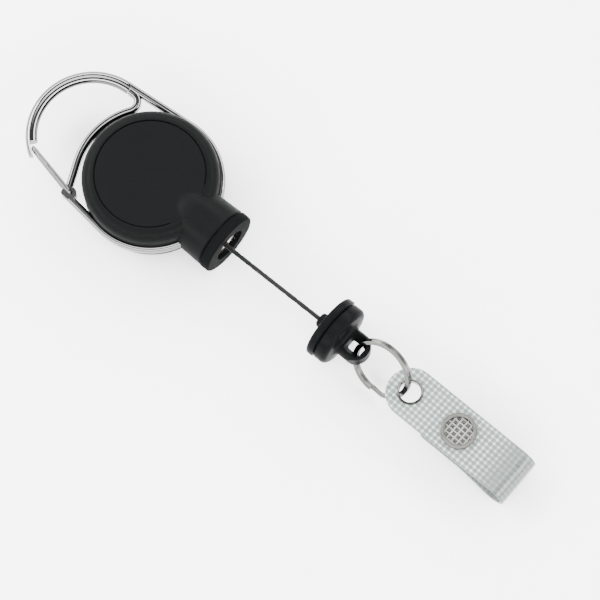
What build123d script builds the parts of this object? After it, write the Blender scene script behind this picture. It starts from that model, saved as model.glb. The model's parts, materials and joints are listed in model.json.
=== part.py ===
from build123d import *
import os
from math import acos, asin, atan2, cos, degrees, pi, radians, sin, sqrt, tan

os.makedirs("parts", exist_ok=True)

# A retractable badge reel, in millimetres. The origin is the centre of the casing's flat rear face.
# +Z points out of the lid, and +X runs along the neck towards the badge strap.

# Main axis and shared fits
AXIS_Z = 7.8             # height of the neck, cord and stopper axis over the rear face
FIT = 0.05               # gap of a running or locating fit

# Casing
CASE_R = 16.0
CASE_TOP = AXIS_Z + 6.4
CASE_EDGE_R = 3.2
WALL = 1.3
CAVITY_R = 14.0
CAVITY_TOP = AXIS_Z + 4.9
LID_R = 13.05
LID_DEPTH = 0.2
LID_FLOOR = CASE_TOP - LID_DEPTH
LID_GROOVE_WIDTH = 0.3
LID_GROOVE_DEPTH = 0.6
LIP_WIDTH = 0.6
LIP_HEIGHT = 0.8
BOSS_R = 3.4
BOSS_HEIGHT = 0.6

# Neck, collar and bushing, as radii about the main axis
NECK_START = 8.0
NECK_ROUND_END = 14.5
NECK_ROOT_R = 5.0        # blend between the lid and the neck
NECK_END = 21.2
NECK_R = 7.45
NECK_END_R = 7.7
NECK_BORE_R = 6.25
NECK_BORE_START = 18.2
FUNNEL_START = 13.2
FUNNEL_R = 5.2
FUNNEL_END_R = 2.4
COLLAR_R = AXIS_Z
COLLAR_END = 23.8
COLLAR_LIP = 0.9
COLLAR_OPENING_R = 4.2
COLLAR_BORE_R = 5.05
COLLAR_RIM_R = 0.6
BUSHING_FACE = COLLAR_END - COLLAR_LIP
BUSHING_FLANGE = 1.0
BUSHING_BARREL_R = 2.9
BUSHING_HOLE_R = 1.25

# Carabiner frame, in the plane of the main axis
FRAME_WIDTH = 1.7
FRAME_HEIGHT = 2.6
FRAME_ROUND = 0.7
RING_R = 16.25           # centre line of the bars that hug the casing
POCKET_Y = 5.4           # how near the main axis the frame's two ends come
HOOK_CENTRE = (-18.3, -0.2)
HOOK_R = 14.05           # centre line of the round hook arch
HOOK_ROD_R = 1.4
HOOK_BODY_END = 228.0    # angle where the hook's full round section stops
HOOK_TIP_END = 241.0
TIP_LIP = 1.0            # thickness of the lip left outside the gate's notch
BACK_R = 18.05           # centre line of the bar between the hook and the casing
BACK_END = 205.0
BACK_STRAIGHT = 7.2      # straight part of that bar, down to the gate's pivot
BEND_R = 2.33            # bend from the hook's upper bar into the back bar
BAR_INSET = 0.12         # how far the bars sit inside the round rod where they meet it
LOWER_START = -95.5
LOWER_BAR = 12.0
PIVOT = (-12.4, -14.35)
PIVOT_BOSS_R = 1.5

# Gate, a loop of spring wire
GATE_WIRE_R = 0.5
GATE_LENGTH = 14.2
GATE_ANGLE = 168.6       # direction of the closed gate, from the pivot
GATE_LEG_Z = FRAME_HEIGHT / 2 + GATE_WIRE_R + FIT
GATE_NOSE_Z = 1.1
GATE_STRAIGHT = 8.5
GATE_BEND = 0.75

# Spool, winding, spring and post
POST_R = 2.0
SPOOL_BOTTOM = 2.0
SPOOL_TOP = 11.1
FLANGE_R = 13.4
FLANGE = 0.8
DRUM_R = 8.0
DRUM_WALL = 0.8
CORD_R = 0.55
CORD_BEND_R = 5.0
BUSHING_BEND = (19.6, -0.62)
WINDING_R = 9.55
SPRING_STRIP = 0.25
SPRING_TURNS = 7
SPRING_PITCH = 0.62
SPRING_START_R = 2.5

# Stopper
NOSE_X = 51.0
NOSE_R = 1.7
NOSE_BASE_R = 2.1
RIM_X = 53.2
CAP_X = 55.2
CAP_SPIGOT_R = 4.0
CAP_SPIGOT_X = 56.8
STOPPER_R = AXIS_Z
BODY_R = 7.55
BODY_X = 58.6
TAIL_R = 3.7
LUG_X = 61.5             # centre of the lug's round end
LUG_HALF = 2.3
SLOT_X = (60.0, 63.9)
CORD_HOLE_R = 0.75
FERRULE_X = (54.4, 57.6)
FERRULE_R = 1.75

# Split ring
RING_X = 69.5
SPLIT_R = 7.2
SPLIT_RADIAL = 1.2
SPLIT_AXIAL = 0.6
SPLIT_PITCH = 0.66
SPLIT_TILT = 60.0
SPLIT_END = 118.0        # where the coils end, round the ring from the stopper
SPLIT_JOG = 26.0         # arc over which the wire steps from one coil to the other

# Badge strap: a level upper leaf, an open fold and a lower leaf that rises back to the snap
STRAP_X = 77.9
STRAP_DROP = 0.3
STRAP_HALF_WIDTH = 6.0
STRAP_THICK = 0.7
STRAP_ROUND_S = 0.4      # centre of the strap's round end, along the strap from the eyelet
EYELET_BARREL_R = 2.7
EYELET_HOLE_R = 2.5
EYELET_R = 3.1
SNAP_S = 14.3
FOLD_S = 28.6
FOLD_R = 3.1
FLAP_W = -2.15           # height of the lower leaf at the snap, under the upper leaf
FLAP_RISE = 27.0
FLAP_END_S = 6.7
HALF_T = STRAP_THICK / 2
FLAP_TOP = FLAP_W + HALF_T
FLAP_BOTTOM = FLAP_W - HALF_T
SNAP_R = 4.25
SNAP_OPENING_R = 3.25
SOCKET_DEPTH = 1.0
PRONGS = 5
PRONG_R = 3.6
STUD_R = 1.6

MAIN = Axis((0, 0, AXIS_Z), (1, 0, 0))
MID = Plane.XY.offset(AXIS_Z)
SIDE = Plane(origin=(0, 0, AXIS_Z), x_dir=(1, 0, 0), z_dir=(0, -1, 0))
STRAP = Plane(origin=(STRAP_X, 0, AXIS_Z - STRAP_DROP), x_dir=(1, 0, 0), z_dir=(0, 0, 1))
STRAP_SIDE = Plane(origin=STRAP.origin, x_dir=(1, 0, 0), z_dir=(0, -1, 0))


def polar(centre, radius, angle):
    """The point at an angle in degrees on a circle."""
    return (centre[0] + radius * cos(radians(angle)), centre[1] + radius * sin(radians(angle)))


def save(name, builder):
    """Label one finished piece and write its STEP file."""
    builder.part.label = name
    export_step(builder.part, f"parts/{name}.step")
    print(f"{name}: {len(builder.part.solids())} solid, {builder.part.volume:.2f} mm3")


def turned(points, plane=SIDE, axis=MAIN):
    """A closed outline of (along, radius) points turned round an axis."""
    with BuildSketch(plane) as outline:
        with BuildLine():
            Polyline(*points, close=True)
        make_face()
    return revolve(outline.sketch, axis=axis, mode=Mode.PRIVATE)


# ---------------------------------------------------------------- casing

with BuildSketch(SIDE) as neck_outline:
    with BuildLine():
        Line((NECK_START, 0), (NECK_START, 5.2))
        Spline((NECK_START, 5.2), (NECK_ROUND_END, NECK_R), tangents=((1, 0.9), (1, 0.04)))
        Polyline(
            (NECK_ROUND_END, NECK_R),
            (NECK_END - 0.35, NECK_END_R),
            (NECK_END, NECK_END_R - 0.4),
            (NECK_END, 0),
            (NECK_START, 0),
        )
    make_face()

# The neck rises out of the lid through a wide blend
with BuildPart() as neck_root:
    with BuildSketch():
        Rectangle(36, 48)
    extrude(amount=LID_FLOOR)
    revolve(neck_outline.sketch, axis=MAIN)
    lid_edges = neck_root.edges().filter_by_position(Axis.Z, LID_FLOOR - 0.01, LID_FLOOR + 0.01)
    crease = lid_edges.filter_by(lambda edge: edge.center().X > 0 and abs(edge.center().Y) < 6)
    fillet(crease, NECK_ROOT_R)
    with BuildSketch(Plane.XY.offset(CASE_TOP - LID_GROOVE_DEPTH)):
        Circle(LID_R)
        with Locations((4 + CASE_R, 0)):
            Rectangle(2 * CASE_R, 12, mode=Mode.INTERSECT)
    extrude(amount=COLLAR_R, mode=Mode.INTERSECT)

with BuildPart() as casing_form:
    with BuildSketch(Plane.XZ) as case_outline:
        with Locations((CASE_R / 2, CASE_TOP / 2)):
            Rectangle(CASE_R, CASE_TOP)
        fillet(case_outline.vertices().group_by(Axis.X)[-1], CASE_EDGE_R)
    revolve(axis=Axis.Z)
    with BuildSketch(Plane.XY.offset(CASE_TOP)):
        Circle(LID_R)
    extrude(amount=-LID_DEPTH, mode=Mode.SUBTRACT)
    with BuildSketch(Plane.XY.offset(CASE_TOP)):
        Circle(LID_R)
        Circle(LID_R - LID_GROOVE_WIDTH, mode=Mode.SUBTRACT)
    extrude(amount=-LID_GROOVE_DEPTH, mode=Mode.SUBTRACT)
    add(neck_root.part)
    revolve(neck_outline.sketch, axis=MAIN)
    # Cavity for the spool, with a bearing boss on each wall
    with BuildSketch(Plane.XY.offset(WALL)):
        Circle(CAVITY_R)
    extrude(amount=CAVITY_TOP - WALL, mode=Mode.SUBTRACT)
    for low, height in ((WALL, BOSS_HEIGHT), (CAVITY_TOP - BOSS_HEIGHT, BOSS_HEIGHT)):
        with BuildSketch(Plane.XY.offset(low)):
            Circle(BOSS_R)
        extrude(amount=height)
    with BuildSketch(Plane.XY.offset(WALL / 2)):
        Circle(POST_R)
    extrude(amount=CAVITY_TOP, mode=Mode.SUBTRACT)
    # Cord funnel and the bore for the collar's spigot
    for start, start_r, end, end_r in (
        (FUNNEL_START, FUNNEL_R, NECK_BORE_START, FUNNEL_END_R),
        (NECK_BORE_START, NECK_BORE_R, NECK_END, NECK_BORE_R),
    ):
        add(turned(((start, 0), (start, start_r), (end, end_r), (end, 0))), mode=Mode.SUBTRACT)
    # Channel round the casing, and pockets in the neck, that hold the carabiner frame
    with BuildSketch(MID):
        Circle(RING_R + FRAME_WIDTH / 2 + FIT)
        Circle(RING_R - FRAME_WIDTH / 2 - FIT, mode=Mode.SUBTRACT)
        with Locations((-CASE_R - 6.3, 0)):
            Rectangle(2 * CASE_R, 4 * CASE_R, mode=Mode.SUBTRACT)
        with Locations((CASE_R, 0)):
            Rectangle(2 * CASE_R, 2 * (POCKET_Y - 0.4), mode=Mode.SUBTRACT)
    extrude(amount=FRAME_HEIGHT / 2 + FIT, both=True, mode=Mode.SUBTRACT)

with BuildPart() as front_casing:
    add(casing_form.part)
    split(bisect_by=MID, keep=Keep.TOP)
    # Locating lip that reaches down inside the rear casing
    with BuildSketch(MID):
        Circle(CAVITY_R + LIP_WIDTH)
        Circle(CAVITY_R, mode=Mode.SUBTRACT)
        with Locations((CASE_R + 11.0, 0)):
            Rectangle(2 * CASE_R, 4 * CASE_R, mode=Mode.SUBTRACT)
    extrude(amount=-LIP_HEIGHT)
save("front_casing", front_casing)

with BuildPart() as rear_casing:
    add(casing_form.part)
    split(bisect_by=MID, keep=Keep.BOTTOM)
    # Rebate for the front casing's lip
    with BuildSketch(MID):
        Circle(CAVITY_R + LIP_WIDTH + FIT)
        with Locations((CASE_R + 11.0 + FIT, 0)):
            Rectangle(2 * CASE_R, 4 * CASE_R, mode=Mode.SUBTRACT)
    extrude(amount=-LIP_HEIGHT - FIT, mode=Mode.SUBTRACT)
save("rear_casing", rear_casing)

with BuildPart() as nose_collar:
    with BuildSketch(SIDE) as collar_outline:
        with BuildLine():
            Polyline(
                (COLLAR_END, COLLAR_R - COLLAR_RIM_R),
                (COLLAR_END, COLLAR_OPENING_R),
                (BUSHING_FACE, COLLAR_OPENING_R),
                (BUSHING_FACE, COLLAR_BORE_R),
                (NECK_BORE_START + FIT, COLLAR_BORE_R),
                (NECK_BORE_START + FIT, NECK_BORE_R - FIT),
                (NECK_END + FIT, NECK_BORE_R - FIT),
                (NECK_END + FIT, COLLAR_R - 0.5),
                (NECK_END + 0.4, COLLAR_R),
                (COLLAR_END - COLLAR_RIM_R, COLLAR_R),
            )
            RadiusArc(
                (COLLAR_END - COLLAR_RIM_R, COLLAR_R),
                (COLLAR_END, COLLAR_R - COLLAR_RIM_R),
                COLLAR_RIM_R,
            )
        make_face()
    revolve(axis=MAIN)
save("nose_collar", nose_collar)

with BuildPart() as cord_bushing:
    with BuildSketch(SIDE) as bushing_outline:
        with BuildLine():
            Polyline(
                (20.8, BUSHING_HOLE_R),
                (BUSHING_FACE - 0.3, BUSHING_HOLE_R),
                (BUSHING_FACE, BUSHING_HOLE_R + 0.35),
                (BUSHING_FACE, COLLAR_BORE_R - FIT),
                (BUSHING_FACE - BUSHING_FLANGE, COLLAR_BORE_R - FIT),
                (BUSHING_FACE - BUSHING_FLANGE, BUSHING_BARREL_R),
                (NECK_BORE_START + FIT, BUSHING_BARREL_R),
                (NECK_BORE_START + FIT, FUNNEL_END_R),
            )
            # Trumpet mouth where the cord bends round into the bore
            TangentArc((20.8, BUSHING_HOLE_R), (NECK_BORE_START + FIT, FUNNEL_END_R), tangent=(-1, 0))
        make_face()
    revolve(axis=MAIN)
save("cord_bushing", cord_bushing)

with BuildPart() as bushing_sleeve:
    sleeve_end = BUSHING_FACE - BUSHING_FLANGE - FIT
    add(
        turned(
            (
                (NECK_BORE_START + FIT, BUSHING_BARREL_R + FIT),
                (sleeve_end, BUSHING_BARREL_R + FIT),
                (sleeve_end, COLLAR_BORE_R - FIT),
                (NECK_BORE_START + FIT, COLLAR_BORE_R - FIT),
            )
        )
    )
save("bushing_sleeve", bushing_sleeve)

# ---------------------------------------------------------------- carabiner frame and gate

# Each bar leaves one circle of the outline where it is tangent to the next
hook_bar_r = HOOK_R + HOOK_ROD_R - FRAME_WIDTH / 2 - BAR_INSET
hook_distance = sqrt(HOOK_CENTRE[0] ** 2 + HOOK_CENTRE[1] ** 2)
hook_bearing = degrees(atan2(HOOK_CENTRE[1], HOOK_CENTRE[0])) + 360
hook_start = hook_bearing - degrees(acos((RING_R - hook_bar_r) / hook_distance))
bend_top = HOOK_CENTRE[1] + HOOK_R - HOOK_ROD_R + FRAME_WIDTH / 2 + BAR_INSET
bend_centre = (-sqrt((BACK_R + BEND_R) ** 2 - (bend_top - BEND_R) ** 2), bend_top - BEND_R)
back_start = degrees(atan2(bend_centre[1], bend_centre[0]))
pocket_angle = degrees(asin(POCKET_Y / RING_R))


def swept_bar(path, section):
    """Sweep a section, drawn on a plane at the path's start, along the whole path."""
    start = path.wire() @ 0
    section_plane = Plane(origin=start, x_dir=(0, 0, 1), z_dir=path.wire() % 0)
    return sweep(section_plane * section, path=path.wire(), mode=Mode.PRIVATE)


with BuildSketch() as bar_section:
    RectangleRounded(FRAME_HEIGHT, FRAME_WIDTH, FRAME_ROUND)
with BuildSketch() as rod_section:
    Circle(HOOK_ROD_R)

lower_leave = polar((0, 0), RING_R, LOWER_START)
lower_end = polar(lower_leave, LOWER_BAR, LOWER_START - 90)
back_low = polar((0, 0), BACK_R, BACK_END)

with BuildPart() as carabiner_frame:
    with BuildLine(MID) as upper_path:
        CenterArc((0, 0), RING_R, pocket_angle, hook_start - pocket_angle)
        Line(polar((0, 0), RING_R, hook_start), polar(HOOK_CENTRE, hook_bar_r, hook_start))
    with BuildLine(MID) as lower_path:
        CenterArc((0, 0), RING_R, -pocket_angle, LOWER_START + pocket_angle)
        Line(lower_leave, lower_end)
    with BuildLine(MID) as back_path:
        Line((HOOK_CENTRE[0], bend_top), (bend_centre[0], bend_top))
        CenterArc(bend_centre, BEND_R, 90, back_start - 270)
        CenterArc((0, 0), BACK_R, back_start, BACK_END - back_start)
        Line(back_low, polar(back_low, BACK_STRAIGHT, BACK_END + 90))
    with BuildLine(MID) as hook_path:
        CenterArc(HOOK_CENTRE, HOOK_R, hook_start - 4, HOOK_TIP_END - hook_start + 4)
    for path in (upper_path, lower_path, back_path):
        add(swept_bar(path, bar_section.sketch))
    add(swept_bar(hook_path, rod_section.sketch))
    # Round foot of the lower bar and the boss round the gate's pivot
    for centre, radius in ((lower_end, FRAME_WIDTH / 2), (PIVOT, PIVOT_BOSS_R)):
        with BuildSketch(MID):
            with Locations(centre):
                Circle(radius)
        extrude(amount=FRAME_HEIGHT / 2, both=True)
    # The hook's tip is cut back to a thin outer lip, which the gate closes against
    with BuildSketch(MID):
        with BuildLine():
            notch_r = HOOK_R + HOOK_ROD_R - TIP_LIP
            CenterArc(HOOK_CENTRE, notch_r, HOOK_BODY_END, 20)
            Polyline(
                polar(HOOK_CENTRE, notch_r, HOOK_BODY_END + 20),
                polar(HOOK_CENTRE, HOOK_R - 3, HOOK_BODY_END + 20),
                polar(HOOK_CENTRE, HOOK_R - 3, HOOK_BODY_END),
                polar(HOOK_CENTRE, notch_r, HOOK_BODY_END),
            )
        make_face()
    extrude(amount=2 * HOOK_ROD_R, both=True, mode=Mode.SUBTRACT)
    with BuildSketch(MID):
        with Locations(PIVOT):
            Circle(GATE_WIRE_R + FIT)
    extrude(amount=FRAME_HEIGHT, both=True, mode=Mode.SUBTRACT)
save("carabiner_frame", carabiner_frame)

# The gate's loop runs out along the top face, round the nose and back along the bottom face
gate_plane = Plane(origin=(*PIVOT, AXIS_Z), x_dir=(*polar((0, 0), 1, GATE_ANGLE), 0), z_dir=(0, 0, 1))
gate_side = Plane(origin=gate_plane.origin, x_dir=gate_plane.x_dir, z_dir=gate_plane.y_dir * -1)
with BuildPart() as gate_wire:
    with BuildLine(gate_side) as gate_path:
        FilletPolyline(
            (0, 0.15),
            (0, GATE_LEG_Z),
            (GATE_STRAIGHT, GATE_LEG_Z),
            (GATE_LENGTH, GATE_NOSE_Z),
            (GATE_LENGTH, -GATE_NOSE_Z),
            (GATE_STRAIGHT, -GATE_LEG_Z),
            (0, -GATE_LEG_Z),
            (0, -0.15),
            radius=(GATE_BEND, 4.0, GATE_BEND, GATE_BEND, 4.0, GATE_BEND),
        )
    with BuildSketch(MID.offset(0.15)) as gate_section:
        with Locations(PIVOT):
            Circle(GATE_WIRE_R)
    sweep(gate_section.sketch, path=gate_path.line)
save("gate_wire", gate_wire)

# ---------------------------------------------------------------- spool and spring

with BuildPart() as centre_post:
    with BuildSketch(Plane.XY.offset(WALL / 2)):
        Circle(POST_R)
    extrude(amount=CAVITY_TOP)
    # Slot that holds the power spring's inner end
    with BuildSketch(Plane.XY.offset(SPOOL_BOTTOM + FLANGE)):
        with Locations((POST_R / 2 + 0.5, 0)):
            Rectangle(POST_R, SPRING_STRIP + 2 * FIT)
    extrude(amount=SPOOL_TOP - SPOOL_BOTTOM - FLANGE, mode=Mode.SUBTRACT)
save("centre_post", centre_post)

with BuildPart() as spool:
    with BuildSketch(Plane.XY.offset(SPOOL_BOTTOM)):
        Circle(FLANGE_R)
    extrude(amount=FLANGE)
    fillet(spool.edges().filter_by(GeomType.CIRCLE), 0.25)
    with BuildSketch(Plane.XY.offset(SPOOL_BOTTOM + FLANGE)):
        Circle(DRUM_R)
        Circle(DRUM_R - DRUM_WALL, mode=Mode.SUBTRACT)
    extrude(amount=SPOOL_TOP - SPOOL_BOTTOM - FLANGE)
    with BuildSketch(Plane.XY.offset(SPOOL_BOTTOM)):
        Circle(POST_R + FIT)
    extrude(amount=FLANGE, mode=Mode.SUBTRACT)
save("spool", spool)

with BuildPart() as spool_cover:
    with BuildSketch(Plane.XY.offset(SPOOL_TOP + FIT)):
        Circle(FLANGE_R)
    extrude(amount=FLANGE)
    fillet(spool_cover.edges().filter_by(GeomType.CIRCLE), 0.25)
    with BuildSketch(Plane.XY.offset(SPOOL_TOP + FIT)):
        Circle(DRUM_R - DRUM_WALL - FIT)
        Circle(DRUM_R - 2 * DRUM_WALL, mode=Mode.SUBTRACT)
    extrude(amount=-0.5)
    with BuildSketch(Plane.XY.offset(SPOOL_TOP + FIT)):
        Circle(POST_R + FIT)
    extrude(amount=FLANGE, mode=Mode.SUBTRACT)
save("spool_cover", spool_cover)

# Half circles whose radius grows by half a pitch make the flat spiral
with BuildPart() as power_spring:
    with BuildSketch(Plane.XY.offset(SPOOL_BOTTOM + FLANGE + 0.2)) as spiral:
        with BuildLine() as spiral_line:
            Line((0.8, 0), (SPRING_START_R, 0))
            reach = SPRING_START_R
            side = 1
            for half_turn in range(2 * SPRING_TURNS):
                radius = SPRING_START_R + SPRING_PITCH * (half_turn + 1) / 4 + SPRING_PITCH * half_turn / 4
                CenterArc((side * (reach - radius), 0), radius, 0 if side > 0 else 180, 180)
                reach = 2 * radius - reach
                side = -side
        trace(line_width=SPRING_STRIP)
    extrude(amount=SPOOL_TOP - SPOOL_BOTTOM - FLANGE - 1.0)
save("power_spring", power_spring)

with BuildPart() as wound_cord:
    winding_bottom = SPOOL_BOTTOM + FLANGE + FIT
    with BuildSketch(Plane.XY.offset(winding_bottom)):
        Circle(WINDING_R)
        Circle(DRUM_R + FIT, mode=Mode.SUBTRACT)
    extrude(amount=SPOOL_TOP - winding_bottom)
save("wound_cord", wound_cord)

# ---------------------------------------------------------------- cord and stopper

# The cord leaves the winding on its -Y side, bends round the bushing's mouth and runs to the ferrule
cord_end = (FERRULE_X[1] - 0.6, 0)
leave_r = WINDING_R + CORD_R + FIT
bend_distance = sqrt(BUSHING_BEND[0] ** 2 + BUSHING_BEND[1] ** 2)
leave_angle = degrees(atan2(BUSHING_BEND[1], BUSHING_BEND[0]) - acos(leave_r / bend_distance))
cord_leave = polar((0, 0), leave_r, leave_angle)

with BuildPart() as cord:
    with BuildLine(MID) as cord_path:
        FilletPolyline(cord_leave, BUSHING_BEND, cord_end, radius=CORD_BEND_R)
    leave_heading = (-sin(radians(leave_angle)), cos(radians(leave_angle)), 0)
    leave_plane = Plane(origin=(*cord_leave, AXIS_Z), x_dir=(0, 0, 1), z_dir=leave_heading)
    with BuildSketch(leave_plane) as cord_section:
        Circle(CORD_R)
    sweep(cord_section.sketch, path=cord_path.line)
    cord_length = sum(edge.length for edge in cord_path.edges())
    cord_ratio = cord.part.volume / (cord_length * pi * CORD_R**2)
    print(f"cord: length {cord_length:.2f} mm, bend {CORD_BEND_R} mm, volume over section {cord_ratio:.4f}")
save("cord", cord)

with BuildPart() as cord_ferrule:
    start, end = FERRULE_X
    add(turned(((start, 0), (start, FERRULE_R), (end, FERRULE_R), (end, 0))))
    chamfer(cord_ferrule.edges().filter_by(GeomType.CIRCLE), 0.25)
    add(cord.part, mode=Mode.SUBTRACT)
save("cord_ferrule", cord_ferrule)

with BuildPart() as stopper_cap:
    with BuildSketch(SIDE) as cap_outline:
        with BuildLine():
            Polyline(
                (NOSE_X, CORD_HOLE_R),
                (NOSE_X, NOSE_R - 0.3),
                (NOSE_X + 0.3, NOSE_R),
                (RIM_X - 0.3, NOSE_BASE_R),
                (RIM_X, NOSE_BASE_R + 0.4),
                (RIM_X, STOPPER_R - 0.7),
            )
            RadiusArc((RIM_X, STOPPER_R - 0.7), (RIM_X + 0.7, STOPPER_R), 0.7)
            Polyline(
                (RIM_X + 0.7, STOPPER_R),
                (CAP_X - 0.4, STOPPER_R),
                (CAP_X, STOPPER_R - 0.6),
                (CAP_X, CAP_SPIGOT_R),
                (CAP_SPIGOT_X, CAP_SPIGOT_R),
                (CAP_SPIGOT_X, FERRULE_R + FIT),
                (FERRULE_X[0] - FIT, FERRULE_R + FIT),
                (FERRULE_X[0] - FIT, CORD_HOLE_R),
                (NOSE_X, CORD_HOLE_R),
            )
        make_face()
    revolve(axis=MAIN)
save("stopper_cap", stopper_cap)

with BuildPart() as stopper_body:
    with BuildSketch(SIDE) as body_outline:
        with BuildLine():
            Polyline(
                (CAP_X + FIT, CAP_SPIGOT_R),
                (CAP_X + FIT, BODY_R - 0.6),
                (CAP_X + 0.45, BODY_R),
                (BODY_X - 1.3, BODY_R),
            )
            RadiusArc((BODY_X - 1.3, BODY_R), (BODY_X, BODY_R - 1.3), 1.3)
            Polyline((BODY_X, BODY_R - 1.3), (BODY_X + 0.15, TAIL_R + 1.2))
            RadiusArc((BODY_X + 0.15, TAIL_R + 1.2), (BODY_X + 1.3, TAIL_R), -1.3)
            Polyline(
                (BODY_X + 1.3, TAIL_R),
                (LUG_X + TAIL_R, TAIL_R),
                (LUG_X + TAIL_R, 0),
                (FERRULE_X[1] + FIT, 0),
                (FERRULE_X[1] + FIT, FERRULE_R + FIT),
                (CAP_SPIGOT_X + FIT, FERRULE_R + FIT),
                (CAP_SPIGOT_X + FIT, CAP_SPIGOT_R),
                (CAP_X + FIT, CAP_SPIGOT_R),
            )
        make_face()
    revolve(axis=MAIN)
    # Flat faces above and below the lug
    for facing in (1, -1):
        with BuildSketch(MID.offset(facing * LUG_HALF)):
            with Locations((LUG_X + 3.2, 0)):
                Rectangle(10.4, 4 * TAIL_R)
        extrude(amount=facing * 2 * TAIL_R, mode=Mode.SUBTRACT)
    # Round end in plan
    with BuildSketch(MID):
        with Locations((LUG_X + 5.0, 0)):
            Rectangle(10, 4 * TAIL_R)
        with Locations((LUG_X, 0)):
            Circle(TAIL_R, mode=Mode.SUBTRACT)
    extrude(amount=2 * TAIL_R, both=True, mode=Mode.SUBTRACT)
    lug_rims = stopper_body.faces().filter_by(Axis.Z).edges().filter_by(GeomType.CIRCLE)
    fillet(lug_rims, 0.45)
    # Hourglass slot for the split ring
    slot_mid = (SLOT_X[0] + SLOT_X[1]) / 2
    slot_length = SLOT_X[1] - SLOT_X[0]
    for facing in (1, -1):
        with BuildSketch(MID):
            with Locations((slot_mid, 0)):
                RectangleRounded(slot_length - 0.1, 2.2, 0.8)
        with BuildSketch(MID.offset(facing * LUG_HALF)):
            with Locations((slot_mid, 0)):
                RectangleRounded(slot_length + 0.2, 4.8, 0.8)
        loft(mode=Mode.SUBTRACT)
save("stopper_body", stopper_body)

# ---------------------------------------------------------------- split ring

# Two flat coils, one on the other, joined by a short step of the wire
ring_normal = (0, -sin(radians(SPLIT_TILT)), cos(radians(SPLIT_TILT)))
ring_plane = Plane(origin=(RING_X, 0, AXIS_Z), x_dir=(-1, 0, 0), z_dir=ring_normal)


def coil_section(angle, height):
    """The wire's section at one angle round the ring."""
    outward = ring_plane.x_dir * cos(radians(angle)) + ring_plane.y_dir * sin(radians(angle))
    along = ring_plane.y_dir * cos(radians(angle)) - ring_plane.x_dir * sin(radians(angle))
    centre = ring_plane.origin + outward * SPLIT_R + ring_plane.z_dir * height
    with BuildSketch(Plane(origin=centre, x_dir=outward, z_dir=along)) as section:
        RectangleRounded(SPLIT_RADIAL, SPLIT_AXIAL, 0.18)
    return section.sketch


with BuildPart() as split_ring:
    step_low = SPLIT_END - SPLIT_JOG
    for start, height in ((SPLIT_END, -SPLIT_PITCH / 2), (SPLIT_END, SPLIT_PITCH / 2)):
        revolve(
            coil_section(start if height > 0 else start + 3, height),
            axis=Axis(ring_plane.origin, ring_plane.z_dir),
            revolution_arc=360 - SPLIT_JOG - 3,
        )
    step_sections = []
    for part_way in (0, 0.25, 0.5, 0.75, 1):
        rise = part_way * part_way * (3 - 2 * part_way) - 0.5
        step_sections.append(coil_section(step_low + SPLIT_JOG * part_way, SPLIT_PITCH * rise))
    loft(sections=step_sections)
save("split_ring", split_ring)

# ---------------------------------------------------------------- strap


def strap_ring(low, high, inner, outer, centre_s):
    """A flat ring on the strap, between two heights over its middle surface."""
    with BuildSketch(STRAP.offset(low)) as outline:
        with Locations((centre_s, 0)):
            Circle(outer)
            if inner > 0:
                Circle(inner, mode=Mode.SUBTRACT)
    return extrude(outline.sketch, amount=high - low, mode=Mode.PRIVATE)


def strap_prongs(low, high, width, depth):
    """The claws of a prong ring, from one height to another."""
    with BuildSketch(STRAP.offset(low)) as outline:
        with Locations((SNAP_S, 0)):
            with PolarLocations(PRONG_R, PRONGS):
                Rectangle(depth, width)
    return extrude(outline.sketch, amount=high - low, mode=Mode.PRIVATE)


flap_turn = polar((FOLD_S, -FOLD_R), FOLD_R, -90 - FLAP_RISE)
flap_level_s = flap_turn[0] - (FLAP_W - flap_turn[1]) / tan(radians(FLAP_RISE))

with BuildPart() as strap_upper_leaf:
    with BuildSketch(STRAP_SIDE):
        with BuildLine():
            Line((STRAP_ROUND_S, 0), (FOLD_S, 0))
            CenterArc((FOLD_S, -FOLD_R), FOLD_R, 90, -89)
        trace(line_width=STRAP_THICK)
    extrude(amount=STRAP_HALF_WIDTH, both=True)
    with BuildSketch(STRAP.offset(-HALF_T)):
        with Locations((STRAP_ROUND_S, 0)):
            Circle(STRAP_HALF_WIDTH)
    extrude(amount=STRAP_THICK)
    add(strap_ring(-1, 1, 0, EYELET_BARREL_R + FIT, 0), mode=Mode.SUBTRACT)
    add(strap_prongs(-1, 1, 0.8, 0.4), mode=Mode.SUBTRACT)
save("strap_upper_leaf", strap_upper_leaf)

with BuildPart() as strap_lower_leaf:
    with BuildSketch(STRAP_SIDE):
        with BuildLine():
            CenterArc((FOLD_S, -FOLD_R), FOLD_R, -1, -89 - FLAP_RISE)
            FilletPolyline(flap_turn, (flap_level_s, FLAP_W), (FLAP_END_S, FLAP_W), radius=7)
        trace(line_width=STRAP_THICK)
    extrude(amount=STRAP_HALF_WIDTH, both=True)
    free_corners = strap_lower_leaf.edges().filter_by(lambda edge: abs(edge.length - STRAP_THICK) < 0.01)
    fillet(free_corners.group_by(Axis.X)[0], 2.0)
    add(strap_prongs(FLAP_W - 1, FLAP_W + 1, 0.8, 0.4), mode=Mode.SUBTRACT)
save("strap_lower_leaf", strap_lower_leaf)

with BuildPart() as eyelet:
    with BuildSketch(STRAP_SIDE) as eyelet_outline:
        with BuildLine():
            Polyline(
                (EYELET_HOLE_R, -HALF_T - 0.75),
                (EYELET_HOLE_R, HALF_T + 0.2),
                (EYELET_HOLE_R + 0.25, HALF_T + 0.45),
                (EYELET_R - 0.25, HALF_T + 0.4),
                (EYELET_R, HALF_T + 0.02),
                (EYELET_BARREL_R, HALF_T + 0.02),
                (EYELET_BARREL_R, -HALF_T - 0.37),
                (EYELET_R + 0.1, -HALF_T - 0.37),
                (EYELET_R, -HALF_T - 0.7),
                close=True,
            )
        make_face()
    revolve(axis=Axis(STRAP.origin, STRAP.z_dir))
save("eyelet", eyelet)

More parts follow.
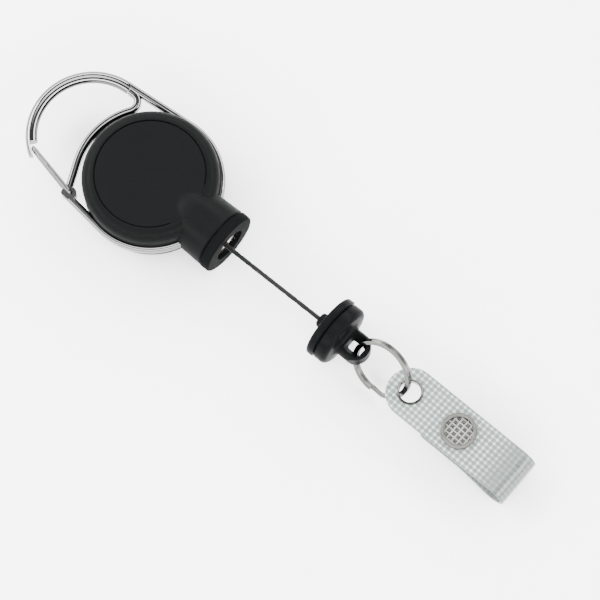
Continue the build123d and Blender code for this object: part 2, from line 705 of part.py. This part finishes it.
with BuildPart() as eyelet_washer:
    add(strap_ring(-HALF_T - 0.35, -HALF_T - 0.02, EYELET_BARREL_R + 0.02, EYELET_R + 0.6, 0))
save("eyelet_washer", eyelet_washer)

with BuildPart() as snap_top_ring:
    add(strap_ring(HALF_T + 0.02, HALF_T + 0.8, SNAP_OPENING_R, SNAP_R, SNAP_S))
    fillet(snap_top_ring.faces().sort_by(Axis.Z)[-1].edges(), 0.35)
    add(strap_prongs(-HALF_T - 0.4, HALF_T + 0.1, 0.7, 0.3))
save("snap_top_ring", snap_top_ring)

with BuildPart() as snap_socket:
    add(strap_ring(-HALF_T - SOCKET_DEPTH, -HALF_T - 0.02, STUD_R + 0.25, SNAP_R, SNAP_S))
    chamfer(snap_socket.faces().sort_by(Axis.Z)[0].outer_wire().edges(), 0.3)
    add(strap_ring(-HALF_T - 0.5, -HALF_T, PRONG_R - 0.2, PRONG_R + 0.2, SNAP_S), mode=Mode.SUBTRACT)
    add(strap_ring(-HALF_T - 0.75, -HALF_T - 0.35, STUD_R + 0.15, STUD_R + 0.6, SNAP_S), mode=Mode.SUBTRACT)
save("snap_socket", snap_socket)

with BuildPart() as snap_spring:
    spring_height = -HALF_T - 0.55
    with BuildLine(STRAP.offset(spring_height)) as snap_spring_path:
        CenterArc((SNAP_S, 0), STUD_R + 0.27, 20, 320)
    spring_start = Plane(origin=snap_spring_path.line @ 0, z_dir=snap_spring_path.line % 0)
    with BuildSketch(spring_start) as spring_section:
        Circle(0.17)
    sweep(spring_section.sketch, path=snap_spring_path.line)
save("snap_spring", snap_spring)

snap_origin = STRAP.from_local_coords((SNAP_S, 0, 0))
with BuildPart() as snap_stud:
    with BuildSketch(Plane(origin=snap_origin, x_dir=STRAP.x_dir, z_dir=(0, -1, 0))):
        with BuildLine():
            Polyline(
                (0, FLAP_TOP + 0.02),
                (SNAP_R - 0.1, FLAP_TOP + 0.02),
                (SNAP_R - 0.1, FLAP_TOP + 0.3),
                (STUD_R - 0.05, FLAP_TOP + 0.35),
                (STUD_R - 0.05, -HALF_T - 0.6),
                (STUD_R, -HALF_T - 0.35),
                (STUD_R - 0.25, -HALF_T - 0.15),
                (0, -HALF_T - 0.15),
                close=True,
            )
        make_face()
    revolve(axis=Axis(snap_origin, STRAP.z_dir))
    add(strap_ring(FLAP_TOP, FLAP_TOP + 0.15, PRONG_R - 0.25, PRONG_R + 0.25, SNAP_S), mode=Mode.SUBTRACT)
save("snap_stud", snap_stud)

with BuildPart() as snap_back_ring:
    add(strap_ring(FLAP_BOTTOM - 0.8, FLAP_BOTTOM - 0.02, SNAP_OPENING_R, SNAP_R, SNAP_S))
    fillet(snap_back_ring.faces().sort_by(Axis.Z)[0].edges(), 0.35)
    add(strap_prongs(FLAP_BOTTOM - 0.1, FLAP_TOP + 0.1, 0.7, 0.3))
save("snap_back_ring", snap_back_ring)
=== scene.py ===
import json
from math import acos, atan2, cos, degrees, pi, radians, sin, tan

import bpy
from mathutils import Matrix, Vector
from mathutils.geometry import delaunay_2d_cdt


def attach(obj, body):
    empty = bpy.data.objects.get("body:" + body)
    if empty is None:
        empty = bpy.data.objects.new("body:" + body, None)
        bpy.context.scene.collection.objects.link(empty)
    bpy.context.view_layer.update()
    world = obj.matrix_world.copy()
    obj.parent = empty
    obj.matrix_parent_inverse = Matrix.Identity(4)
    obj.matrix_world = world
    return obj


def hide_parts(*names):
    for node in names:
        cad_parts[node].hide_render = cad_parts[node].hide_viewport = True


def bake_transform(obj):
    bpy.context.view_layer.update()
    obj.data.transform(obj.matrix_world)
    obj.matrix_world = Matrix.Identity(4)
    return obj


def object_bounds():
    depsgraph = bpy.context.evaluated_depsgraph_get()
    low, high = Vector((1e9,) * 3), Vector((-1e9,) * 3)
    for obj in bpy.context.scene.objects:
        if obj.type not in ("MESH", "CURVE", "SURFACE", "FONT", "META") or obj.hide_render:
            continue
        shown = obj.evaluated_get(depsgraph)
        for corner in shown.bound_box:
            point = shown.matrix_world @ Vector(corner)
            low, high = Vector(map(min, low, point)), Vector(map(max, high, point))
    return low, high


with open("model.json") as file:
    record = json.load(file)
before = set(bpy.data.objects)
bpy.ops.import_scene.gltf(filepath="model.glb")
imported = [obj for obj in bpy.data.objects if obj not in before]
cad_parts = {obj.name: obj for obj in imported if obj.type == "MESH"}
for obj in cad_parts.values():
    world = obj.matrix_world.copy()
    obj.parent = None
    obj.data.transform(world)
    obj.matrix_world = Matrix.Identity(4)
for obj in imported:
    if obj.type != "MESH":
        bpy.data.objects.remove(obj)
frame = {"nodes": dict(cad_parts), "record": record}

box_at_load = [list(corner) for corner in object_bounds()]

MM = 0.001               # one millimetre, in metres; the sizes below are in millimetres
AXIS_Z = 7.8

# Cord
CORD_R = 0.55
WINDING_R = 9.55
CORD_FIT = 0.05
BEND_POINT = Vector((19.6, -0.62, 0))
BEND_R = 5.0
MOUTH_X = 22.3           # where the cord comes out of the bushing
CORD_END_X = 57.0
CORD_STRANDS = 4
STRAND_PITCH = 3.4
WOUND_R = 9.0            # centre line of the wound turns
WOUND_CORD_R = 0.54
WOUND_BOTTOM = 3.45
WOUND_TOP = 10.5
WOUND_TURNS = 7.2
STEPS_PER_TURN = 60

# Strap
STRAP_X = 77.9
STRAP_Z = AXIS_Z - 0.3
STRAP_HALF_WIDTH = 6.0
STRAP_THICK = 0.7
EYELET_RUN = 5.7         # along the strap to the eyelet's centre
EYELET_HOLE_R = 2.75
END_PAST_EYELET = 0.4    # from the eyelet's centre to the round end's
SNAP_RUN = 20.0          # along the strap to the snap's centre
# radius of the painted shade inside the snap's ring
SNAP_SHADE_R = 3.4
FOLD_S, FOLD_R = 28.6, 3.1
FOLD_LAP = 6             # degrees that the upper leaf runs on past the fold's outer tip
FLAP_W, FLAP_RISE, FLAP_END_S, FLAP_BEND_R = -2.15, 27.0, 6.7, 7.0
FLAP_CORNER_R = 2.0
SCRIM_PITCH = 2.6        # length of one wave, which carries two threads
SCRIM_STRETCH = 1.12
EDGE_ROUND = 0.22
OUTLINE_STEP = 0.6
FILL_STEP = 0.55
FILL_CLEARANCE = 0.32


# ---------------------------------------------------------------- materials

def new_material(name, colour, roughness, metallic=0.0, specular=0.5):
    """A Principled material with its plain values set on the shader's own sockets."""
    mat = bpy.data.materials.new(name)
    mat.use_nodes = True
    shader = mat.node_tree.nodes["Principled BSDF"]
    shader.inputs["Base Color"].default_value = (*colour, 1.0)
    shader.inputs["Roughness"].default_value = roughness
    shader.inputs["Metallic"].default_value = metallic
    shader.inputs["Specular IOR Level"].default_value = specular
    return mat, shader


def object_coords(mat, scale=(1.0, 1.0, 1.0)):
    """Object coordinates in metres, scaled."""
    nodes, links = mat.node_tree.nodes, mat.node_tree.links
    coords = nodes.new("ShaderNodeTexCoord")
    mapping = nodes.new("ShaderNodeMapping")
    mapping.inputs["Scale"].default_value = scale
    links.new(coords.outputs["Object"], mapping.inputs["Vector"])
    return mapping.outputs["Vector"]


def noise(mat, vector, scale, detail=3.0, rough=0.5):
    node = mat.node_tree.nodes.new("ShaderNodeTexNoise")
    node.inputs["Scale"].default_value = scale
    node.inputs["Detail"].default_value = detail
    node.inputs["Roughness"].default_value = rough
    mat.node_tree.links.new(vector, node.inputs["Vector"])
    return node.outputs["Fac"]


def rgba(value):
    """A grey level or a colour, made opaque."""
    return (*value, 1.0) if isinstance(value, tuple) else (value, value, value, 1.0)


def ramp(mat, value, low, high, start, end):
    """Map a value between two positions onto two grey levels or colours."""
    node = mat.node_tree.nodes.new("ShaderNodeValToRGB")
    node.color_ramp.elements[0].position = low
    node.color_ramp.elements[1].position = high
    node.color_ramp.elements[0].color = rgba(start)
    node.color_ramp.elements[1].color = rgba(end)
    mat.node_tree.links.new(value, node.inputs["Fac"])
    return node.outputs["Color"]


def bump(mat, shader, height, strength, distance):
    node = mat.node_tree.nodes.new("ShaderNodeBump")
    node.inputs["Strength"].default_value = strength
    node.inputs["Distance"].default_value = distance
    mat.node_tree.links.new(height, node.inputs["Height"])
    mat.node_tree.links.new(node.outputs["Normal"], shader.inputs["Normal"])


def moulded(name, colour, low, high, grain=9000.0, relief=0.000012, shine=0.015):
    """Moulded plastic: a very fine grain and slow changes of gloss."""
    mat, shader = new_material(name, colour, 0.4, specular=shine)
    coords = object_coords(mat)
    gloss = ramp(mat, noise(mat, coords, 180.0), 0.35, 0.65, low, high)
    mat.node_tree.links.new(gloss, shader.inputs["Roughness"])
    bump(mat, shader, noise(mat, coords, grain, 2.0), 0.35, relief)
    return mat


def plated(name, colour, low, high, scale=700.0):
    """Plated metal, with slow ripples and hardly any haze."""
    mat, shader = new_material(name, colour, 0.1, metallic=1.0)
    coords = object_coords(mat)
    gloss = ramp(mat, noise(mat, coords, scale), 0.3, 0.7, low, high)
    mat.node_tree.links.new(gloss, shader.inputs["Roughness"])
    bump(mat, shader, noise(mat, coords, scale * 0.6, 2.0), 0.08, 0.00003)
    return mat


def drawn_steel(name, colour, stretch):
    """Drawn or rolled steel, with fine lines along one direction."""
    mat, shader = new_material(name, colour, 0.25, metallic=1.0)
    coords = object_coords(mat, stretch)
    lines = noise(mat, coords, 1500.0, 4.0, 0.6)
    mat.node_tree.links.new(ramp(mat, lines, 0.3, 0.7, 0.16, 0.34), shader.inputs["Roughness"])
    bump(mat, shader, lines, 0.15, 0.00002)
    return mat


def braid(name):
    """Black round braid: the strands show in the mesh, the fibres in a fine bump."""
    mat, shader = new_material(name, (0.004, 0.004, 0.0045), 0.62, specular=0.08)
    shader.inputs["Sheen Weight"].default_value = 0.03
    coords = object_coords(mat, (1.0, 3.0, 3.0))
    fibres = noise(mat, coords, 4500.0, 4.0, 0.7)
    colour = ramp(mat, fibres, 0.3, 0.7, (0.0015, 0.0015, 0.0016), (0.008, 0.008, 0.0085))
    mat.node_tree.links.new(colour, shader.inputs["Base Color"])
    bump(mat, shader, fibres, 0.5, 0.00003)
    return mat


def scrim_vinyl(name):
    """Clear vinyl over a white woven scrim, drawn in strap coordinates in metres, with painted shade over
    the fold, the lower leaf and inside the snap's ring.
    """
    mat, shader = new_material(name, (0.66, 0.70, 0.69), 0.33, specular=0.45)
    nodes, links = mat.node_tree.nodes, mat.node_tree.links
    uv = nodes.new("ShaderNodeUVMap")
    uv.uv_map = "strap"
    split = nodes.new("ShaderNodeSeparateXYZ")
    links.new(uv.outputs["UV"], split.inputs["Vector"])

    def maths(operation, first, second=None):
        node = nodes.new("ShaderNodeMath")
        node.operation = operation
        for socket, value in ((0, first), (1, second)):
            if value is None:
                continue
            if isinstance(value, (int, float)):
                node.inputs[socket].default_value = value
            else:
                links.new(value, node.inputs[socket])
        return node.outputs["Value"]

    def blend_colours(share, first, second):
        node = nodes.new("ShaderNodeMix")
        node.data_type = "RGBA"
        links.new(share, node.inputs["Factor"])
        links.new(first, node.inputs["A"])
        if isinstance(second, tuple):
            node.inputs["B"].default_value = rgba(second)
        else:
            links.new(second, node.inputs["B"])
        return node.outputs["Result"]

    # Threads both ways, with a knot where two of them cross
    wave = 2 * pi / (SCRIM_PITCH * MM)
    warp = maths("ABSOLUTE", maths("SINE", maths("MULTIPLY", split.outputs["X"], wave)))
    weft = maths("ABSOLUTE", maths("SINE", maths("MULTIPLY", split.outputs["Y"], wave * SCRIM_STRETCH)))
    threads = maths("MAXIMUM", maths("POWER", warp, 3.0), maths("POWER", weft, 3.0))
    knots = maths("POWER", maths("MULTIPLY", warp, weft), 3.0)
    ribs = maths("POWER", threads, 3.0)
    height = maths("ADD", maths("MULTIPLY", ribs, 0.3), maths("MULTIPLY", knots, 0.7))
    coords = object_coords(mat)
    cloud = noise(mat, coords, 260.0, 3.0)
    tone = maths("ADD", maths("MULTIPLY", height, 0.55), maths("MULTIPLY", cloud, 0.12))
    sheet = ramp(mat, tone, 0.12, 0.56, (0.088, 0.112, 0.103), (0.42, 0.445, 0.435))
    # From 28 to 33 mm along it turns plainer and darker, and stays so over the fold and the lower leaf: the
    # plainer weave is the strap's own, the darker tone is painted shade of the fold bending away and of the
    # lower leaf lying under the upper one
    fold_shade = ramp(mat, maths("MULTIPLY", split.outputs["X"], 20.0), 0.56, 0.66, 0.0, 1.0)
    sheet = blend_colours(maths("MULTIPLY", fold_shade, 0.8), sheet, (0.070, 0.084, 0.079))
    # Inside the snap's ring the threads and the ground between them are painted darker: painted shade in the
    # hollow of the raised ring, not a socket under the vinyl
    snap_hollow_shade = ramp(mat, threads, 0.70, 1.0, (0.012, 0.012, 0.011), (0.20, 0.20, 0.19))
    from_snap = maths("SUBTRACT", split.outputs["X"], SNAP_RUN * MM)
    reach_squared = maths("ADD", maths("POWER", from_snap, 2.0), maths("POWER", split.outputs["Y"], 2.0))
    in_snap = maths("LESS_THAN", reach_squared, (SNAP_SHADE_R * MM) ** 2)
    links.new(blend_colours(in_snap, sheet, snap_hollow_shade), shader.inputs["Base Color"])
    links.new(ramp(mat, cloud, 0.35, 0.65, 0.24, 0.40), shader.inputs["Roughness"])
    links.new(ramp(mat, threads, 0.05, 0.8, 0.80, 0.93), shader.inputs["Alpha"])
    shader.inputs["Subsurface Weight"].default_value = 0.12
    shader.inputs["Subsurface Radius"].default_value = (0.002, 0.002, 0.002)
    shader.inputs["Subsurface Scale"].default_value = 0.4
    shader.inputs["Coat Weight"].default_value = 0.25
    shader.inputs["Coat Roughness"].default_value = 0.15
    bump(mat, shader, height, 0.5, 0.00012)
    return mat


finish = {
    "casing_black": moulded("casing black", (0.0030, 0.0034, 0.0034), 0.34, 0.46),
    "collar_black": moulded("collar black", (0.0028, 0.0031, 0.0032), 0.34, 0.44, 7000.0, 0.000008, 0.002),
    "stopper_black": moulded("stopper black", (0.0026, 0.0029, 0.0030), 0.28, 0.38, 7000.0, 0.000008, 0.012),
    "nickel": plated("bushing nickel", (0.40, 0.37, 0.33), 0.10, 0.22),
    "frame_chrome": plated("frame chrome", (0.13, 0.13, 0.13), 0.05, 0.11, 240.0),
    "gate_steel": drawn_steel("gate wire steel", (0.10, 0.10, 0.10), (0.15, 1.0, 1.0)),
    "steel": drawn_steel("post steel", (0.60, 0.60, 0.61), (1.0, 1.0, 0.1)),
    "acetal": moulded("acetal", (0.60, 0.60, 0.57), 0.38, 0.50, 5000.0, 0.000008, 0.5),
    "spring_steel": drawn_steel("spring strip steel", (0.30, 0.33, 0.38), (1.0, 1.0, 0.15)),
    "cord_black": braid("cord braid"),
    "ferrule_brass": plated("ferrule brass", (0.80, 0.62, 0.32), 0.18, 0.32),
    "ring_steel": plated("ring nickel", (0.09, 0.09, 0.086), 0.07, 0.16),
    "snap_nickel": plated("snap nickel", (0.085, 0.083, 0.077), 0.07, 0.16),
    "vinyl": scrim_vinyl("scrim vinyl"),
}

slot_of = {entry["node"]: entry["material_slot"] for entry in frame["record"]["subparts"]}
for node_name, node in frame["nodes"].items():
    node.data.materials.clear()
    node.data.materials.append(finish[slot_of[node_name]])


# ---------------------------------------------------------------- mesh helpers

def make_object(name, verts, faces, slot):
    """A mesh object from points in millimetres."""
    mesh = bpy.data.meshes.new(name)
    mesh.from_pydata([tuple(c * MM for c in v) for v in verts], [], faces)
    mesh.validate()
    mesh.update()
    mesh.shade_smooth()
    obj = bpy.data.objects.new(name, mesh)
    bpy.context.scene.collection.objects.link(obj)
    obj.data.materials.append(finish[slot])
    return obj


def path_frames(points, up):
    """A direction, side and normal at each point of a path."""
    frames = []
    for i, point in enumerate(points):
        before = points[max(i - 1, 0)]
        after = points[min(i + 1, len(points) - 1)]
        along = (after - before).normalized()
        side = along.cross(up).normalized()
        frames.append((point, side, side.cross(along).normalized()))
    return frames


def braided_tube(name, points, up, radius, sides):
    """A closed tube whose surface carries two sets of crossing strands."""
    verts, faces = [], []
    frames = path_frames(points, up)
    travelled = 0.0
    for i, (point, side, normal) in enumerate(frames):
        if i:
            travelled += (point - frames[i - 1][0]).length
        twist = 2 * pi * travelled / STRAND_PITCH
        for k in range(sides):
            angle = 2 * pi * k / sides
            right = cos(CORD_STRANDS * angle + twist)
            left = cos(CORD_STRANDS * angle - twist)
            r = radius * (0.90 + 0.10 * max(right, left))
            verts.append(point + side * (r * cos(angle)) + normal * (r * sin(angle)))
    for i in range(len(frames) - 1):
        for k in range(sides):
            j = (k + 1) % sides
            faces.append((i * sides + k, i * sides + j, (i + 1) * sides + j, (i + 1) * sides + k))
    faces.append(tuple(reversed(range(sides))))
    faces.append(tuple(range((len(frames) - 1) * sides, len(frames) * sides)))
    return make_object(name, verts, faces, "cord_black")


def arc(centre, radius, angles):
    """Points in a plane at angles in degrees on a circle."""
    points = []
    for angle in angles:
        turn = radians(angle)
        points.append(Vector((centre[0] + radius * cos(turn), centre[1] + radius * sin(turn))))
    return points


# ---------------------------------------------------------------- cord

leave_r = WINDING_R + CORD_R + CORD_FIT
bend_angle = degrees(atan2(BEND_POINT.y, BEND_POINT.x) - acos(leave_r / BEND_POINT.length))
leave = arc((0, 0), leave_r, [bend_angle])[0].to_3d()
cord_end = Vector((CORD_END_X, 0, 0))

incoming = (BEND_POINT - leave).normalized()
outgoing = (cord_end - BEND_POINT).normalized()
turn = incoming.angle(outgoing)
trim = BEND_R * tan(turn / 2)
bend_start = BEND_POINT - incoming * trim
bend_stop = BEND_POINT + outgoing * trim
bend_centre = bend_start + Vector((incoming.y, -incoming.x, 0)) * BEND_R


def line_points(a, b, step):
    count = max(int((b - a).length / step), 1)
    return [a.lerp(b, i / count) for i in range(count + 1)]


inner_route = line_points(leave, bend_start, 0.12)
first = bend_start - bend_centre
for i in range(1, 16):
    inner_route.append(bend_centre + Matrix.Rotation(-turn * i / 16, 3, "Z") @ first)
mouth = bend_stop + outgoing * ((MOUTH_X - bend_stop.x) / outgoing.x)
inner_route += line_points(bend_stop, mouth, 0.12)
outer_route = line_points(mouth, cord_end, 0.10)
lift = Vector((0, 0, AXIS_Z))
up = Vector((0, 0, 1))

cord_inner = braided_tube("cord_inside", [p + lift for p in inner_route], up, CORD_R, 20)
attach(cord_inner, "reel")
cord_outer = braided_tube("cord_outside", [p + lift for p in outer_route], up, CORD_R, 20)
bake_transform(cord_outer)
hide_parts("cord")

# The winding: neat turns of cord side by side round the drum
winding_steps = WOUND_TURNS * STEPS_PER_TURN
winding_route = []
for i in range(int(winding_steps) + 1):
    angle = 2 * pi * i / STEPS_PER_TURN
    height = WOUND_BOTTOM + (WOUND_TOP - WOUND_BOTTOM) * i / winding_steps
    winding_route.append(Vector((WOUND_R * cos(angle), WOUND_R * sin(angle), height)))
winding = braided_tube("winding_turns", winding_route, up, WOUND_CORD_R, 12)
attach(winding, "drum")
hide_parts("wound_cord")


# ---------------------------------------------------------------- strap

def strap_route():
    """Points of the strap's middle line as (along, height) from the eyelet, round the fold and back."""
    upper = [Vector((-EYELET_RUN, 0)), Vector((FOLD_S, 0))]
    fold = arc((FOLD_S, -FOLD_R), FOLD_R, range(90, -118, -3))
    turn_point = fold[-1]
    heading = Vector((-cos(radians(FLAP_RISE)), sin(radians(FLAP_RISE))))
    corner = turn_point + heading * ((FLAP_W - turn_point.y) / heading.y)
    cut = FLAP_BEND_R * tan(radians(FLAP_RISE / 2))
    bend_from = corner - heading * cut
    centre = bend_from + Vector((-heading.y, heading.x)) * FLAP_BEND_R
    arm = bend_from - centre
    bend = []
    for i in range(13):
        swing = radians(FLAP_RISE) * i / 12
        x = arm.x * cos(swing) - arm.y * sin(swing)
        y = arm.x * sin(swing) + arm.y * cos(swing)
        bend.append(centre + Vector((x, y)))
    return upper, fold, bend, Vector((FLAP_END_S, FLAP_W))


def dense(points, step):
    """The same line with more points along it."""
    out = [points[0]]
    for a, b in zip(points, points[1:]):
        count = max(int((b - a).length / step), 1)
        out += [a.lerp(b, i / count) for i in range(1, count + 1)]
    return out


upper_line, fold_line, flap_bend, flap_tip = strap_route()
half_way = [p for p in fold_line if p.y > -FOLD_R + 0.02]
rest_way = [p for p in fold_line if p.y < -FOLD_R - 0.02]
fold_tip = arc((FOLD_S, -FOLD_R), FOLD_R, (0, -FOLD_LAP))
upper_path = dense(upper_line + half_way[1:] + fold_tip, 0.3)
lower_path = dense([Vector((FOLD_S + FOLD_R, -FOLD_R - 0.03))] + rest_way + flap_bend + [flap_tip], 0.3)


class Strip:
    """A strap piece's middle line, which turns distances along it into places in space."""

    def __init__(self, path):
        self.path = path
        self.run = [0.0]
        for a, b in zip(path, path[1:]):
            self.run.append(self.run[-1] + (b - a).length)

    def place(self, distance, across, height):
        distance = min(max(distance, 0.0), self.run[-1])
        low, high = 0, len(self.run) - 1
        while high - low > 1:
            middle = (low + high) // 2
            if self.run[middle] <= distance:
                low = middle
            else:
                high = middle
        share = (distance - self.run[low]) / max(self.run[high] - self.run[low], 1e-9)
        point = self.path[low].lerp(self.path[high], share)
        along = self.heading(low).lerp(self.heading(high), share).normalized()
        normal = Vector((-along.y, along.x))
        spot = point + normal * height
        return Vector((STRAP_X + spot.x, across, STRAP_Z + spot.y))

    def heading(self, i):
        a = self.path[max(i - 1, 0)]
        b = self.path[min(i + 1, len(self.path) - 1)]
        return (b - a).normalized()


def offset_loop(loop, amount):
    """Move a closed counter-clockwise loop outwards by an amount."""
    out = []
    for i, point in enumerate(loop):
        along = (loop[(i + 1) % len(loop)] - loop[i - 1]).normalized()
        out.append(point + Vector((along.y, -along.x)) * amount)
    return out


def inside(p, loop):
    """Whether a point lies inside a closed loop."""
    hit = False
    for a, b in zip(loop, loop[1:] + loop[:1]):
        if (a.y > p.y) != (b.y > p.y) and p.x < (b.x - a.x) * (p.y - a.y) / (b.y - a.y) + a.x:
            hit = not hit
    return hit


def strap_mesh(name, strip, outline, holes, uv_shift):
    """A strap piece of real thickness with soft edges, from its flat outline and holes."""
    loops = [offset_loop(outline, -EDGE_ROUND)] + [offset_loop(hole, EDGE_ROUND) for hole in holes]
    rims = [outline] + holes
    points = [p for loop in loops for p in loop]
    edges, start = [], 0
    for loop in loops:
        edges += [(start + i, start + (i + 1) % len(loop)) for i in range(len(loop))]
        start += len(loop)
    # Fill the flat shape with evenly spaced points, clear of its edges
    xs = [p.x for p in outline]
    x = min(xs) + 0.4
    fixed = list(points)
    while x < max(xs) - 0.3:
        y = -STRAP_HALF_WIDTH + 0.6
        while y < STRAP_HALF_WIDTH - 0.5:
            spot = Vector((x, y))
            if all((spot - q).length > FILL_CLEARANCE for q in fixed):
                points.append(spot)
            y += FILL_STEP
        x += FILL_STEP
    flat_points, _, triangles, *_ = delaunay_2d_cdt(points, edges, [], 2, 1e-5)
    kept = []
    for tri in triangles:
        centre = (flat_points[tri[0]] + flat_points[tri[1]] + flat_points[tri[2]]) / 3
        if inside(centre, loops[0]) and not any(inside(centre, loop) for loop in loops[1:]):
            kept.append(tuple(tri))
    count = len(flat_points)
    flat, heights = [], []
    for level in (STRAP_THICK / 2, -STRAP_THICK / 2):
        flat += list(flat_points)
        heights += [level] * count
    faces = kept + [tuple(count + i for i in reversed(tri)) for tri in kept]
    # Round the edges over from the upper face to the lower one
    start = 0
    for loop, rim in zip(loops, rims):
        rows = [[start + i for i in range(len(loop))]]
        for angle in (55, 25, 0, -25, -55):
            row = []
            for inner, outer in zip(loop, rim):
                row.append(len(flat))
                flat.append(inner.lerp(outer, cos(radians(angle))))
                heights.append(STRAP_THICK / 2 * sin(radians(angle)) / sin(radians(75)))
            rows.append(row)
        rows.append([count + start + i for i in range(len(loop))])
        for upper, lower in zip(rows, rows[1:]):
            for i in range(len(loop)):
                j = (i + 1) % len(loop)
                faces.append((upper[i], lower[i], lower[j], upper[j]))
        start += len(loop)
    verts = [strip.place(p.x, p.y, h) for p, h in zip(flat, heights)]
    obj = make_object(name, verts, faces, "vinyl")
    layer = obj.data.uv_layers.new(name="strap")
    for loop in obj.data.loops:
        spot = flat[loop.vertex_index]
        layer.data[loop.index].uv = ((uv_shift + spot.x) * MM, spot.y * MM)
    return obj


def round_end(length, centre, radius):
    """A strip outline with a round end at the start."""
    loop = arc((centre, 0), radius, range(90, 271, 5))
    x = centre + OUTLINE_STEP
    while x < length - OUTLINE_STEP / 2:
        loop.append(Vector((x, -radius)))
        x += OUTLINE_STEP
    across = int(2 * radius / OUTLINE_STEP) + 1
    loop += [Vector((length, -radius + OUTLINE_STEP * i)) for i in range(across)]
    x -= OUTLINE_STEP
    while x > centre + OUTLINE_STEP / 2:
        loop.append(Vector((x, radius)))
        x -= OUTLINE_STEP
    return loop


def flap_outline(length, radius):
    """A strip outline with two rounded corners at its far end."""
    half = STRAP_HALF_WIDTH
    across = int(2 * half / OUTLINE_STEP) + 1
    loop = [Vector((0, half - OUTLINE_STEP * i)) for i in range(across)]
    x = OUTLINE_STEP
    while x < length - radius - OUTLINE_STEP / 2:
        loop.append(Vector((x, -half)))
        x += OUTLINE_STEP
    loop += arc((length - radius, -half + radius), radius, range(-90, 1, 15))
    y = -half + radius + OUTLINE_STEP
    while y < half - radius - OUTLINE_STEP / 2:
        loop.append(Vector((length, y)))
        y += OUTLINE_STEP
    loop += arc((length - radius, half - radius), radius, range(0, 91, 15))
    x -= OUTLINE_STEP
    while x > OUTLINE_STEP / 2:
        loop.append(Vector((x, half)))
        x -= OUTLINE_STEP
    return loop


upper_strip = Strip(upper_path)
lower_strip = Strip(lower_path)
upper_outline = round_end(upper_strip.run[-1], EYELET_RUN + END_PAST_EYELET, STRAP_HALF_WIDTH)
eyelet_hole = arc((EYELET_RUN, 0), EYELET_HOLE_R, range(0, 360, 9))
upper_leaf = strap_mesh("strap_leaf_upper", upper_strip, upper_outline, [eyelet_hole], 0.0)
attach(upper_leaf, "strap")
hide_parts("strap_upper_leaf")
lower_outline = flap_outline(lower_strip.run[-1], FLAP_CORNER_R)
lower_leaf = strap_mesh("strap_leaf_lower", lower_strip, lower_outline, [], upper_strip.run[-1])
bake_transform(lower_leaf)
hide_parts("strap_lower_leaf")


# ---------------------------------------------------------------- studio

floor_mesh = bpy.data.meshes.new("floor")
reach = 3.0
floor_corners = [(-reach, -reach, 0), (reach, -reach, 0), (reach, reach, 0), (-reach, reach, 0)]
floor_mesh.from_pydata(floor_corners, [], [(0, 1, 2, 3)])
floor = bpy.data.objects.new("floor", floor_mesh)
bpy.context.scene.collection.objects.link(floor)
floor.location = (0, 0, box_at_load[0][2] - 0.00005)
floor_mat, _ = new_material("floor", (0.93, 0.93, 0.93), 0.9, specular=0.1)
floor_mesh.materials.append(floor_mat)

world = bpy.data.worlds.new("studio")
bpy.context.scene.world = world
world.use_nodes = True
sky = world.node_tree.nodes
sky_links = world.node_tree.links
sky["Background"].inputs["Strength"].default_value = 20.0
sky_coords = sky.new("ShaderNodeTexCoord")
sky_split = sky.new("ShaderNodeSeparateXYZ")
sky_ramp = sky.new("ShaderNodeValToRGB")
# Bright walls between a dark band above the horizon and a dark ceiling, with a small bright
# panel overhead, so that black plastic stays black
sky_ramp.color_ramp.elements[0].position = 0.0
sky_ramp.color_ramp.elements[0].color = rgba(0.25)
sky_ramp.color_ramp.elements[1].position = 1.0
sky_ramp.color_ramp.elements[1].color = rgba(0.55)
wall_levels = ((0.10, 0.02), (0.30, 0.02), (0.38, 1.0), (0.60, 1.0), (0.68, 0.02))
ceiling_levels = ((0.95, 0.02), (0.98, 0.55))
for position, level in wall_levels + ceiling_levels:
    sky_ramp.color_ramp.elements.new(position).color = rgba(level)
sky_links.new(sky_coords.outputs["Generated"], sky_split.inputs["Vector"])
sky_links.new(sky_split.outputs["Z"], sky_ramp.inputs["Fac"])
sky_links.new(sky_ramp.outputs["Color"], sky["Background"].inputs["Color"])


def softbox(name, place, aim, width, height, power):
    """A rectangular area light aimed at a point."""
    data = bpy.data.lights.new(name, "AREA")
    data.shape = "RECTANGLE"
    data.size = width
    data.size_y = height
    data.energy = power
    lamp = bpy.data.objects.new(name, data)
    lamp.location = place
    lamp.rotation_euler = (Vector(aim) - Vector(place)).to_track_quat("-Z", "Y").to_euler()
    bpy.context.scene.collection.objects.link(lamp)


# The camera fitted to the photograph
right = Vector((0.7605, 0.6487, -0.0276)).normalized()
forward = Vector((-0.2004, 0.1941, -0.9603)).normalized()
picture_up = right.cross(forward).normalized()
middle = Vector((0.038, 0, 0.0078))
softbox("key", middle - right * 0.85 + picture_up * 0.65 - forward * 0.50, middle, 0.6, 0.6, 14.0)

FOCAL_OVER_WIDTH = 3520 / 600
camera_data = bpy.data.cameras.new("camera")
camera_data.sensor_width = 36.0
camera_data.lens = camera_data.sensor_width * FOCAL_OVER_WIDTH
camera_data.clip_start = 0.01
camera_data.clip_end = 20.0
camera = bpy.data.objects.new("camera", camera_data)
bpy.context.scene.collection.objects.link(camera)
back = -forward
pose = Matrix((right, back.cross(right), back)).transposed().to_4x4()
pose.translation = Vector((0.2059, -0.1557, 0.7725 + AXIS_Z * MM))
camera.matrix_world = pose
bpy.context.scene.camera = camera
